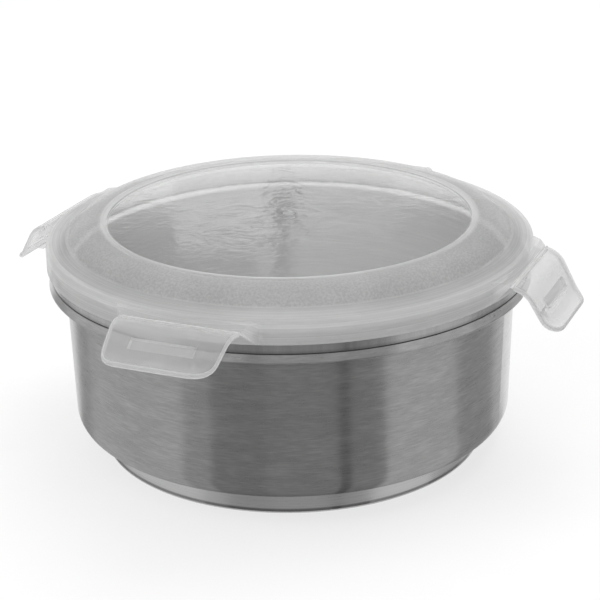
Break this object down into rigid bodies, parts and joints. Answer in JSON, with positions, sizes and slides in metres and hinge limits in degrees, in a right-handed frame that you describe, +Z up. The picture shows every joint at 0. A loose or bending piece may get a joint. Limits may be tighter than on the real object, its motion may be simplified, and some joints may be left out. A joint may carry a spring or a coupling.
{
  "type": "insulated bowl with snap-lock lid",
  "caption": "Round double-wall stainless steel bowl on a low foot, with a translucent lid, a clear window in it and hinged locking flaps that hook under the rim.",
  "frame": {"origin": "centre of the foot's resting face, on the table", "axes": "+Z up along the bowl's axis; +X and +Y each run through the middle of one flap's hinge line, and the front flap is on -Y"},
  "size_m": [0.2305, 0.241, 0.0914],
  "materials": {
    "brushed_steel": "brushed round the bowl, satin",
    "polished_steel": "polished",
    "satin_steel": "fine satin",
    "seam_sealant": "matte",
    "frosted_plastic": "frosted ring with a clear polished window",
    "flap_plastic": "translucent, smooth",
    "silicone": "matte silicone"
  },
  "bodies": {
    "bowl": {"outer_shell": "brushed_steel", "inner_liner": "polished_steel", "seam_seal": "seam_sealant", "base_cap": "satin_steel"},
    "lid": {"lid": "frosted_plastic", "gasket": "silicone", "hinge_web_right": "flap_plastic", "hinge_web_back": "flap_plastic", "hinge_web_left": "flap_plastic", "hinge_web_front": "flap_plastic"},
    "flap_right": {"flap_right": "flap_plastic"},
    "flap_back": {"flap_back": "flap_plastic"},
    "flap_left": {"flap_left": "flap_plastic"},
    "flap_front": {"flap_front": "flap_plastic"}
  },
  "joints": [
    {"name": "lid_lift", "type": "slide", "parent": "bowl", "child": "lid", "axis": [0, 0, 1], "range_m": [0, 0.08]},
    {"name": "flap_right_hinge", "type": "hinge", "parent": "lid", "child": "flap_right", "pos_m": [0.0969, 0, 0.0811], "axis": [0, -1, 0], "range_deg": [-45, 95]},
    {"name": "flap_back_hinge", "type": "hinge", "parent": "lid", "child": "flap_back", "pos_m": [0, 0.0969, 0.0811], "axis": [1, 0, 0], "range_deg": [-71, 69]},
    {"name": "flap_left_hinge", "type": "hinge", "parent": "lid", "child": "flap_left", "pos_m": [-0.0969, 0, 0.0811], "axis": [0, 1, 0], "range_deg": [-46, 94]},
    {"name": "flap_front_hinge", "type": "hinge", "parent": "lid", "child": "flap_front", "pos_m": [0, -0.0969, 0.0811], "axis": [-1, 0, 0], "range_deg": [-71, 69]}
  ]
}
